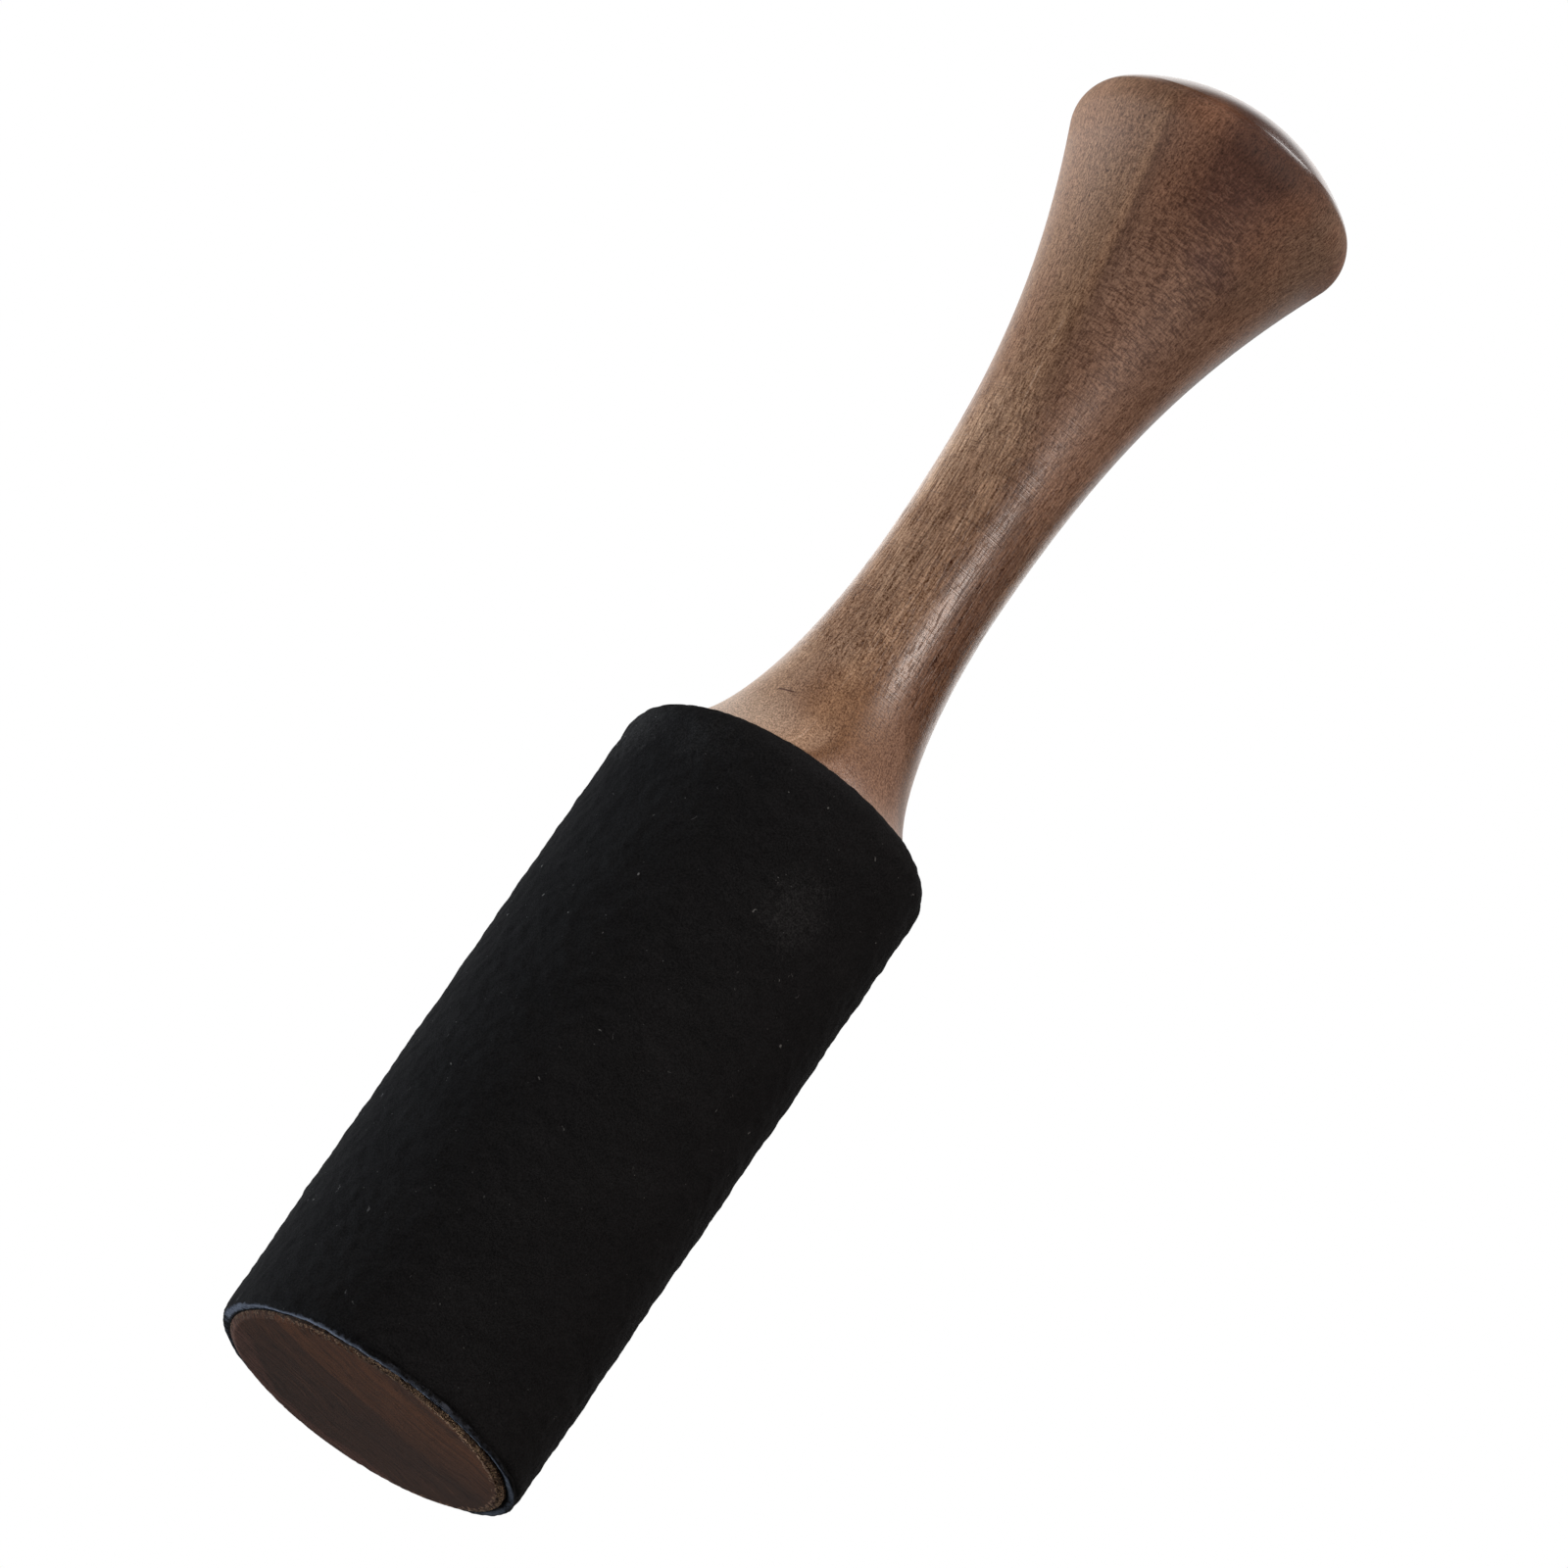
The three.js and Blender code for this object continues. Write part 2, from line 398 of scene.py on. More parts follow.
def suede_sleeve(material):
    """One strip of suede with its real thickness, wrapped from seam edge to seam edge."""
    path = sleeve_path()
    half_gap = SEAM_WIDTH / 2 / SLEEVE_RADIUS
    seam = math.pi / 2
    angles = np.linspace(seam + half_gap, seam + 2 * math.pi - half_gap, AROUND_SUEDE + 1)
    shape = (len(angles), len(path), len(CUT_EDGE))
    number, points, faces = {}, [], []

    def corner(step):
        if step not in number:
            number[step] = len(points)
            angle_step, row, layer = step
            points.append(sleeve_point(angles[angle_step], row, layer, path))
        return number[step]

    def side(fixed, at, flip):
        """Faces of the side of the block of (angle, row, layer) steps where one step is fixed."""
        first, second = [k for k in range(3) if k != fixed]
        for i in range(shape[first] - 1):
            for j in range(shape[second] - 1):
                ring = []
                for di, dj in ((0, 0), (1, 0), (1, 1), (0, 1)):
                    step = [at, at, at]
                    step[first], step[second] = i + di, j + dj
                    ring.append(corner(tuple(step)))
                faces.append(tuple(reversed(ring)) if flip else tuple(ring))

    angle_step, row, layer = 0, 1, 2
    side(layer, shape[layer] - 1, flip=False)       # the napped outer face
    side(layer, 0, flip=True)                       # the glued inner face
    side(row, 0, flip=False)                        # the cut edge
    side(row, shape[row] - 1, flip=True)            # the tucked edge
    side(angle_step, 0, flip=True)                  # the two edges of the seam
    side(angle_step, shape[angle_step] - 1, flip=False)
    return as_object("suede_wrap", points, faces, material, sharp_over=60)


# Materials. Their nodes work in millimetres.

class Nodes:
    """The nodes of a material or a world, made by short calls. Each call returns an output socket."""

    def __init__(self, owner):
        owner.use_nodes = True
        self.tree = owner.node_tree
        self.tree.nodes.clear()

    def add(self, kind, inputs=(), out=0, **settings):
        node = self.tree.nodes.new(kind)
        for name, value in settings.items():
            setattr(node, name, value)
        for name, value in dict(inputs).items():
            self.feed(node.inputs[name], value)
        return node.outputs[out] if node.outputs else None

    def feed(self, socket, value):
        if isinstance(value, bpy.types.NodeSocket):
            self.tree.links.new(value, socket)
        elif socket.type == "RGBA":
            socket.default_value = (*value, 1)
        else:
            socket.default_value = value

    def math(self, operation, first, second=0.0):
        return self.add("ShaderNodeMath", {0: first, 1: second}, operation=operation)

    def vector(self, operation, first, second, out="Vector"):
        return self.add("ShaderNodeVectorMath", {0: first, 1: second}, out, operation=operation)

    def total(self, first, *others):
        for other in others:
            first = self.math("ADD", first, other)
        return first

    def product(self, first, *others):
        for other in others:
            first = self.math("MULTIPLY", first, other)
        return first

    def dot(self, first, second):
        return self.vector("DOT_PRODUCT", first, second, "Value")

    def length(self, vector):
        return self.vector("LENGTH", vector, (0, 0, 0), "Value")

    def times(self, vector, factor):
        return self.add("ShaderNodeVectorMath", {0: vector, "Scale": factor}, operation="SCALE")

    def place(self):
        """The point's place on the object, in millimetres."""
        return self.times(self.add("ShaderNodeTexCoord", out="Object"), 1 / MM)

    def part(self, vector, axis):
        return self.add("ShaderNodeSeparateXYZ", {0: vector}, axis)

    def squeezed(self, place, x, y, z):
        """place with its axes multiplied: a pattern on it has about one lump in 1/x mm along X."""
        return self.vector("MULTIPLY", place, (x, y, z))

    def noise(self, place, detail=2.0, rough=0.5):
        inputs = {"Vector": place, "Scale": 1.0, "Detail": detail, "Roughness": rough}
        return self.add("ShaderNodeTexNoise", inputs)

    def drift(self, place, x, y, z):
        """A smooth shift, up to about half of x, y and z, that varies with place."""
        inputs = {"Vector": place, "Scale": 1.0, "Detail": 1.0}
        way = self.vector("SUBTRACT", self.add("ShaderNodeTexNoise", inputs, "Color"), (0.5, 0.5, 0.5))
        return self.vector("MULTIPLY", way, (x, y, z))

    def line_noise(self, along, per_mm, detail=2.0, rough=0.5):
        inputs = {"W": along, "Scale": per_mm, "Detail": detail, "Roughness": rough}
        return self.add("ShaderNodeTexNoise", inputs, noise_dimensions="1D")

    def specks(self, place, size, share):
        """Scattered specks, 1 inside. size is a share of their spacing, and share of places have one."""
        cells = self.tree.nodes.new("ShaderNodeTexVoronoi")
        cells.inputs["Scale"].default_value = 1.0
        self.feed(cells.inputs["Vector"], place)
        chance = self.part(cells.outputs["Color"], "X")
        inside = self.fade(cells.outputs["Distance"], size * 0.45, size, 1, 0)
        return self.product(inside, self.fade(chance, 1.0 - share, 1.02 - share))

    def fade(self, value, low, high, start=0.0, end=1.0):
        """value eased from start to end as it goes from low to high."""
        inputs = {"Value": value, "From Min": low, "From Max": high, "To Min": start, "To Max": end}
        return self.add("ShaderNodeMapRange", inputs, interpolation_type="SMOOTHSTEP")

    def near(self, value, middle, reach):
        """1 where value is at middle, easing to 0 at reach from it."""
        return self.fade(self.math("ABSOLUTE", self.math("SUBTRACT", value, middle)), 0.0, reach, 1, 0)

    def path(self, value, points):
        """A smooth curve through points (value, result)."""
        low, high = points[0][0], points[-1][0]
        least, most = min(r for _, r in points), max(r for _, r in points)
        node = self.tree.nodes.new("ShaderNodeFloatCurve")
        self.feed(node.inputs["Value"], self.add(
            "ShaderNodeMapRange", {"Value": value, "From Min": low, "From Max": high},
        ))
        line = node.mapping.curves[0]
        for number, (at, result) in enumerate(points):
            spot = ((at - low) / (high - low), (result - least) / (most - least))
            if number in (0, len(points) - 1):
                line.points[0 if number == 0 else -1].location = spot
            else:
                line.points.new(*spot)
        node.mapping.update()
        return self.total(self.product(node.outputs[0], most - least), least)

    def mix(self, share, first, second):
        inputs = {"Factor": share, 6: first, 7: second}
        return self.add("ShaderNodeMix", inputs, 2, data_type="RGBA")

    def off_line(self, place, start, end):
        """How far a place is from the straight line between two points."""
        start, way = Vector(start), Vector(end) - Vector(start)
        from_start = self.vector("SUBTRACT", place, tuple(start))
        share = self.dot(from_start, tuple(way / way.length_squared))
        held = self.add("ShaderNodeClamp", {"Value": share})
        return self.length(self.vector("SUBTRACT", from_start, self.times(tuple(way), held)))


def material(name, pattern, **constants):
    """A material from pattern(nodes), which gives a colour, a roughness and a relief in millimetres."""
    made = bpy.data.materials.new(name)
    nodes = Nodes(made)
    base, roughness, relief = pattern(nodes)
    bump = nodes.add("ShaderNodeBump", {"Height": relief, "Distance": MM, "Strength": 1.0})
    inputs = {"Base Color": base, "Roughness": roughness, "Normal": bump}
    inputs.update({key.replace("_", " "): value for key, value in constants.items()})
    surface = nodes.add("ShaderNodeBsdfPrincipled", inputs)
    nodes.add("ShaderNodeOutputMaterial", {"Surface": surface})
    return made


def colour(red, green, blue):
    """A linear colour from screen values of 0 to 255."""
    shares = (c / 255 for c in (red, green, blue))
    return tuple(s / 12.92 if s <= 0.04045 else ((s + 0.055) / 1.055) ** 2.4 for s in shares)


# The growth rings stand along the handle and face this way. One of them shows as a line up the front,
# this far from the axis at the waist, and sways on its way from foot to butt: (height, shift), in
# millimetres.
RING_FACING = math.radians(34)
RING_WAY = (math.sin(RING_FACING), -math.cos(RING_FACING), 0)
RING_LINE = 7.88
RING_SWAY = (
    (95, 5.0), (100, 3.3), (104, 2.2), (109, 1.2), (116, 0.55), (130, 0), (138, -0.25), (145, -0.6),
    (154, -1.3), (166, -1.05), (178, -0.2), (190, 0.75), (202, 1.3),
)

# A thin pale ring runs beside it, this much nearer the axis
PALE_RING_INSET = 1.95

# Patches where the handle's wood has another tone: (middle, reach along each axis, tone, strength). The
# last but one, lighter and greyer on the right of the butt, is partly that tone and partly painted
# sheen; the last, darker on the upper right of the front, is painted shade.
PATCHES = (
    ((2.5, -16, 189), (7.5, 9, 10), (94, 57, 47), 0.8),
    ((5.5, -14, 177.5), (5, 5, 2.2), (92, 58, 54), 0.6),
    ((6.5, -6, 121), (3.5, 5, 17), (104, 68, 54), 0.3),
    ((0, -11, 104), (6, 6, 7), (150, 106, 70), 0.6),
    ((3, -15, 194.5), (13.5, 9, 5.5), (80, 52, 40), 0.8),
    ((15.5, -7, 184), (7, 9, 12), (152, 126, 106), 0.6),
    ((10, -11, 168), (6, 8, 24), (110, 80, 62), 0.4),
)
CURL_MIDDLE = (2.5, -14, 170)
CURL_REACH = (9.5, 10, 24)

# The fine grain changes blue more than red, so that its dark parts are a warmer brown
GRAIN_TINT = (0.9, 1.02, 1.1)

# How these change along the handle: (height, value), in millimetres. The grip is rubbed to a sheen, the
# flank of the butt is duller and its end is polished. The pores show most round the waist.
ROUGHNESS = (
    (95, 0.48), (104, 0.42), (113, 0.27), (136, 0.27), (158, 0.42), (185, 0.56), (189, 0.75),
    (193.3, 0.75), (194.5, 0.20), (202, 0.26),
)
GRAIN_DEPTH = (
    (95, 1.6), (108, 1.85), (117, 1.8), (140, 1.65), (158, 1.5), (172, 1.45), (193.4, 1.45),
    (194.6, 0.6), (196.5, 1.2), (202, 1.3),
)
PORE_DEPTH = (
    (95, 0.15), (107, 0.3), (116, 0.9), (140, 0.9), (156, 0.45), (170, 0.2), (196, 0.2), (202, 0.9),
)
TOOL_LINE_DEPTH = (
    (95, 0.05), (108, 0.3), (116, 0.9), (150, 0.9), (162, 0.25), (175, 0.1), (202, 0.1),
)
RING_LINE_DEPTH = (
    (95, 0.8), (106, 0.75), (116, 0.45), (140, 0.45), (152, 0.2), (162, 0.15), (173, 0.45),
    (184, 0.45), (190, 0.25), (202, 0.2),
)
TURNING_DEPTH = (150, 165, 0.028, 0.004)    # fades between two heights, from one depth to the other
POLISHED_END = (193.6, 194.8, 1, 0.25)      # the relief fades likewise where the polished dome begins

# Shades even out the studio's strong lights. Each goes from one place to another along an axis, and
# from one brightness to another: (place, place, brightness, brightness). This one is along Y.
HANDLE_BACK_SHADE = (1, 9, 1, 0.6)

# Heights of the marks that the tool left across the front, and how wide and how far round they are
TOOL_MARKS = (134.3, 136.2, 141.8, 144.2, 146.2, 148.7, 149.3, 151.6, 155.1)
TOOL_MARK_REACH = 0.16
TOOL_MARKS_MIDDLE = 0.8
TOOL_MARKS_REACH = 6.5

# The rim of the foot is painted paler at the left: its heights, and its places along X
PALE_RIM_HEIGHTS = (96, 103, 0.75, 0)
PALE_RIM_PLACES = (-9, -1.5, 1, 0)

# A dark nick and a hair crack low on the handle
NICK = ((-8.5, -8.76, 102.33), (-6.9, -9.99, 102.53))
HAIR_CRACK = ((11.0, -6.63, 100.64), (12.8, -5.56, 98.27))


def off_patch(s, place, middle, reach):
    """How far a place is from the middle of a soft patch, in shares of its reach."""
    return s.length(s.vector("DIVIDE", s.vector("SUBTRACT", place, middle), reach))


def walnut_tones(s, place, grain, height, ring):
    """The wood's colour before its fine grain: two sides of one growth ring, thin rings, patches and
    painted sheen and shade.
    """
    broad = s.noise(s.squeezed(grain, 0.10, 0.10, 0.05), detail=3, rough=0.55)
    high_up = s.fade(height, 144, 164)
    left_side = s.mix(high_up, colour(184, 149, 122), colour(143, 107, 80))
    right_side = s.mix(s.fade(height, 170, 184), colour(170, 132, 109), colour(162, 116, 90))
    base = s.mix(s.fade(ring, RING_LINE - 1, RING_LINE + 1.5), left_side, right_side)
    base = s.mix(s.fade(broad, 0.35, 0.7, 0, 0.6), base, colour(142, 104, 80))
    thin_rings = s.line_noise(ring, per_mm=1.1, detail=3, rough=0.6)
    base = s.mix(s.fade(thin_rings, 0.45, 0.75, 0, 0.3), base, colour(120, 84, 64))

    pale_ring = s.total(ring, PALE_RING_INSET - RING_LINE)
    lower_half = s.fade(height, 158, 172, 1, 0.25)
    base = s.mix(s.product(s.near(pale_ring, 0.0, 1.4), lower_half, 0.25), base, colour(214, 172, 138))
    broken = s.line_noise(height, per_mm=0.16, detail=1)
    pale_line = s.product(s.near(pale_ring, 0.0, 0.13), s.fade(broken, 0.42, 0.56), lower_half)
    base = s.mix(s.product(pale_line, 0.55), base, colour(216, 184, 160))

    line_tone = s.mix(s.fade(height, 112, 128, 1, 0), colour(98, 64, 48), colour(120, 82, 52))
    line_depth = s.path(height, RING_LINE_DEPTH)
    base = s.mix(s.product(s.near(ring, RING_LINE + 0.3, 1.2), line_depth), base, line_tone)
    beside_line = s.product(s.near(ring, RING_LINE - 0.9, 0.9), s.fade(height, 160, 172))
    base = s.mix(s.product(beside_line, 0.45), base, colour(184, 140, 108))
    # Patches of tone; the last two are a painted sheen, partly tone, and a painted shade
    for middle, reach, tone, strength in PATCHES:
        uneven = s.total(off_patch(s, place, middle, reach), s.fade(broad, 0.2, 0.8, 0.35, -0.35))
        base = s.mix(s.fade(uneven, 0.3, 1.3, strength, 0), base, colour(*tone))
    # The foot's rim is painted paler at the left
    pale_rim = s.product(s.fade(height, *PALE_RIM_HEIGHTS), s.fade(s.part(place, "X"), *PALE_RIM_PLACES))
    base = s.mix(pale_rim, base, colour(216, 186, 162))
    return s.times(base, s.fade(s.part(place, "Y"), *HANDLE_BACK_SHADE))


def walnut(s):
    """Growth rings, fine pores along the grain, a curled figure towards the butt, and turning lines."""
    place = s.place()
    height = s.part(place, "Z")
    sway = s.times(RING_WAY, s.path(height, RING_SWAY))
    grain = s.vector("SUBTRACT", place, sway)
    grain = s.vector("ADD", grain, s.drift(s.squeezed(place, 0.10, 0.10, 0.04), 0.9, 0.9, 0))
    ring = s.dot(grain, RING_WAY)
    base = walnut_tones(s, place, grain, height, ring)

    fibres = s.noise(s.squeezed(grain, 4.2, 4.2, 0.2), detail=3, rough=0.7)
    grit = s.noise(s.squeezed(grain, 4.6, 4.6, 3.8), detail=2, rough=0.7)
    above_foot = s.fade(height, 104, 116, 0.35, 1)
    lengthwise = s.product(s.fade(fibres, 0.3, 0.7, -0.34, 0.34), above_foot)
    curl_depth = s.fade(off_patch(s, place, CURL_MIDDLE, CURL_REACH), 0.45, 1.1, 1, 0)
    grain_depth = s.product(s.path(height, GRAIN_DEPTH), s.fade(curl_depth, 0, 1, 1, 0.9))
    grain_tone = s.product(s.total(lengthwise, s.fade(grit, 0.3, 0.7, -0.3, 0.3)), grain_depth)
    base = s.vector("MULTIPLY", base, s.vector("ADD", s.times(GRAIN_TINT, grain_tone), (1, 1, 1)))

    curled = s.vector("ADD", place, s.drift(s.squeezed(place, 0.6, 0.6, 1.0), 1.0, 1.0, 0.55))
    curl = s.noise(s.squeezed(curled, 0.8, 0.8, 3.6), detail=3, rough=0.7)
    base = s.mix(s.product(s.fade(curl, 0.34, 0.5, 0.4, 0), curl_depth), base, colour(196, 154, 130))
    base = s.mix(s.product(s.fade(curl, 0.46, 0.62, 0, 0.68), curl_depth), base, colour(88, 58, 48))

    long_pores = s.fade(s.noise(s.squeezed(grain, 4.6, 4.6, 0.26), detail=1), 0.57, 0.67)
    short_pores = s.specks(s.squeezed(grain, 3.2, 3.2, 0.5), size=0.30, share=0.6)
    all_pores = s.math("MAXIMUM", long_pores, s.product(short_pores, 0.8))
    pores = s.product(all_pores, s.path(height, PORE_DEPTH))
    base = s.mix(s.product(pores, 0.55), base, colour(90, 58, 41))

    turning = s.line_noise(height, per_mm=4.6, detail=2)
    patchy = s.noise(s.squeezed(place, 0.22, 0.22, 1.2), detail=1)
    tool_lines = s.product(
        s.fade(turning, 0.56, 0.66), s.fade(patchy, 0.42, 0.58), s.path(height, TOOL_LINE_DEPTH),
    )
    base = s.mix(s.product(tool_lines, 0.45), base, colour(84, 58, 45))

    marks = s.near(height, TOOL_MARKS[0], TOOL_MARK_REACH)
    for mark in TOOL_MARKS[1:]:
        marks = s.math("MAXIMUM", marks, s.near(height, mark, TOOL_MARK_REACH))
    in_front = s.near(s.part(place, "X"), TOOL_MARKS_MIDDLE, TOOL_MARKS_REACH)
    mark_depth = s.product(marks, in_front, s.fade(patchy, 0.35, 0.5, 0.1, 0.5))
    base = s.mix(mark_depth, base, colour(80, 54, 42))

    nick = s.fade(s.off_line(place, *NICK), 0.06, 0.2, 1, 0)
    crack = s.fade(s.off_line(place, *HAIR_CRACK), 0.02, 0.1, 0.6, 0)
    base = s.mix(s.product(s.math("MAXIMUM", nick, crack), 0.8), base, colour(88, 50, 42))

    relief = s.total(
        s.product(pores, -0.02),
        s.product(fibres, 0.014),
        s.product(grit, 0.010),
        s.product(turning, s.fade(height, *TURNING_DEPTH)),
        s.product(tool_lines, -0.012),
        s.product(curl, curl_depth, -0.03),
        s.product(nick, -0.1),
    )
    roughness = s.total(
        s.path(height, ROUGHNESS), s.fade(fibres, 0.2, 0.8, -0.04, 0.04), s.product(pores, 0.2),
    )
    return base, roughness, s.product(relief, s.fade(height, *POLISHED_END))


# The striking end's stain is warmer than the colours that it is mixed from
FACE_TINT = (0.98, 0.90, 0.82)
# Painted light along X: the striking end is painted darker at the left and lighter at the right, and its
# raw edge up to two and a half times lighter towards the right, where the studio's light is weak
FACE_SHADE = (-16, 16, 0.88, 1.15)      # these two are along X
RAW_EDGE_SHADE = (0, 13, 1, 2.5)

# The way that its streaks run, and a redder border along its rim at the back left, in millimetres
STREAKS_RUN = math.radians(23)
BORDER_WAY = math.radians(124)
BORDER_RADII = (17.6, 18.8)
BORDER_START = (8, 12)

# Its raw edge is wider in front, along Y, and narrower at the left, along X. Its outside is darker,
# partly a glue stain and partly painted shade in the gap beside the suede, most in front and less at
# the right.
RAW_EDGE_IN_FRONT = (-19, -4, 0.75, 0.2)
RAW_EDGE_AT_LEFT = (-16, 10, -0.8, 0)
STAIN_AND_SHADE_IN_FRONT = (-17, -7, 0.85, 0.2)
STAIN_AND_SHADE_AT_RIGHT = (4, 13, 1, 0.4)


def on_streaks(s, along, layer, height, per_along, per_layer):
    """A place whose axes run along the streaks, across them and up, for a pattern to lie on."""
    axes = {0: s.product(along, per_along), 1: s.product(layer, per_layer), 2: height}
    return s.add("ShaderNodeCombineXYZ", axes)


def end_grain(s):
    """Bare wood with a dark stain, streaked across the striking end, with a rough tan edge."""
    place = s.place()
    height = s.part(place, "Z")
    towards_back = s.part(place, "Y")
    from_axis = s.length(s.squeezed(place, 1, 1, 0))

    across = s.dot(place, (-math.sin(STREAKS_RUN), math.cos(STREAKS_RUN), 0))
    along = s.dot(place, (math.cos(STREAKS_RUN), math.sin(STREAKS_RUN), 0))
    bow = s.product(along, along, 0.006)
    wobble = s.noise(s.squeezed(place, 0.1, 0.1, 0.02))
    layer = s.total(across, bow, s.product(wobble, 5))
    tone = s.line_noise(layer, per_mm=0.25, detail=3, rough=0.6)
    on_layer = on_streaks(s, along, layer, height, per_along=0.11, per_layer=1.9)
    streaks = s.noise(on_layer, detail=4, rough=0.7)
    fine = s.noise(s.squeezed(place, 5, 5, 0.5), detail=2, rough=0.65)

    base = s.mix(s.fade(towards_back, -14, 5), colour(90, 59, 41), colour(60, 43, 36))
    base = s.mix(s.fade(tone, 0.4, 0.7, 0, 0.75), base, colour(52, 39, 34))
    border = s.product(
        s.fade(s.total(from_axis, s.product(wobble, 5)), *BORDER_RADII),
        s.fade(s.dot(place, (math.cos(BORDER_WAY), math.sin(BORDER_WAY), 0)), *BORDER_START),
    )
    base = s.mix(s.product(border, s.fade(streaks, 0.3, 0.6, 0.7, 0.3)), base, colour(98, 68, 60))
    base = s.mix(s.fade(streaks, 0.50, 0.66, 0, 0.6), base, colour(38, 27, 23))
    base = s.mix(s.fade(streaks, 0.30, 0.42, 0.35, 0), base, colour(118, 82, 62))
    on_dashes = on_streaks(s, along, layer, height, per_along=0.35, per_layer=3.6)
    dashes = s.fade(s.noise(on_dashes, detail=1), 0.60, 0.68)
    base = s.mix(s.product(dashes, 0.75), base, colour(32, 23, 20))
    base = s.times(base, s.fade(fine, 0.3, 0.7, 0.56, 1.46))
    base = s.vector("MULTIPLY", base, FACE_TINT)
    # Painted light: darker at the left, lighter at the right
    base = s.times(base, s.fade(s.part(place, "X"), *FACE_SHADE))

    ragged = s.noise(s.squeezed(place, 1.3, 1.3, 1.3), detail=3, rough=0.65)
    fleck = s.noise(s.squeezed(place, 4.5, 4.5, 4.5), rough=0.7)
    in_front = s.fade(towards_back, *RAW_EDGE_IN_FRONT)
    at_left = s.fade(s.part(place, "X"), *RAW_EDGE_AT_LEFT)
    into_edge = s.total(from_axis, in_front, at_left, s.fade(ragged, 0.35, 0.65, -0.8, 0.55))
    edge_start = millimetres(CORE_RADIUS - FACE_CHAMFER_WIDTH)
    in_edge = s.fade(into_edge, edge_start - 0.15, edge_start + 0.2)
    raw = s.mix(s.fade(fleck, 0.4, 0.6), colour(78, 56, 42), colour(176, 142, 110))
    raw = s.mix(s.fade(ragged, 0.46, 0.56, 0, 0.8), raw, colour(60, 43, 35))
    # Painted light: the raw edge is much lighter towards the right
    raw = s.times(raw, s.fade(s.part(place, "X"), *RAW_EDGE_SHADE))
    base = s.mix(in_edge, base, raw)
    # Painted shade and a glue stain darken the outside of the raw edge
    stain_and_shade_radius = s.total(from_axis, s.fade(ragged, 0.3, 0.7, -0.15, 0.15))
    glue_stain_and_shade = s.fade(stain_and_shade_radius, edge_start + 0.5, edge_start + 0.75)
    stain_and_shade_depth = s.product(
        s.fade(towards_back, *STAIN_AND_SHADE_IN_FRONT), s.fade(s.part(place, "X"), *STAIN_AND_SHADE_AT_RIGHT),
    )
    base = s.mix(s.product(glue_stain_and_shade, stain_and_shade_depth), base, colour(40, 29, 24))

    relief = s.total(
        s.product(fine, 0.03),
        s.product(streaks, -0.06),
        s.product(fleck, in_edge, 0.15),
    )
    return base, s.fade(fine, 0.2, 0.8, 0.75, 0.9), relief


# Where the nap is ruffled and looks greyer: (middle, reach along each axis, strength), in millimetres
RUFFLED = (
    ((8.4, -19.3, 76.2), (4.5, 5, 6), 0.14),
    ((-12.3, -17, 88.6), (6, 6, 4), 0.07),
    ((-19.8, -6.9, 89.0), (4, 8, 6), 0.10),
)

# Painted shade along X: the suede is painted darker at its left, against the studio's strong light
# there, and its cut edge darker at both sides. Also how the lint thins out towards the bottom of the
# sleeve
SUEDE_LEFT_SHADE = (-21, -2, 0.56, 1)
CUT_EDGE_SHADES = ((-20, -13, 0.75, 1), (11, 19, 1, 0.42))
LINT_BY_HEIGHT = (15, 75, 0.35, 1)

# Towards the mallet's sides, between these distances along X, the hide's pale core shows further in
# and is wider
AT_SIDE = (13, 20.5)
CORE_INWARD = 0.25
CORE_WIDER = 0.22


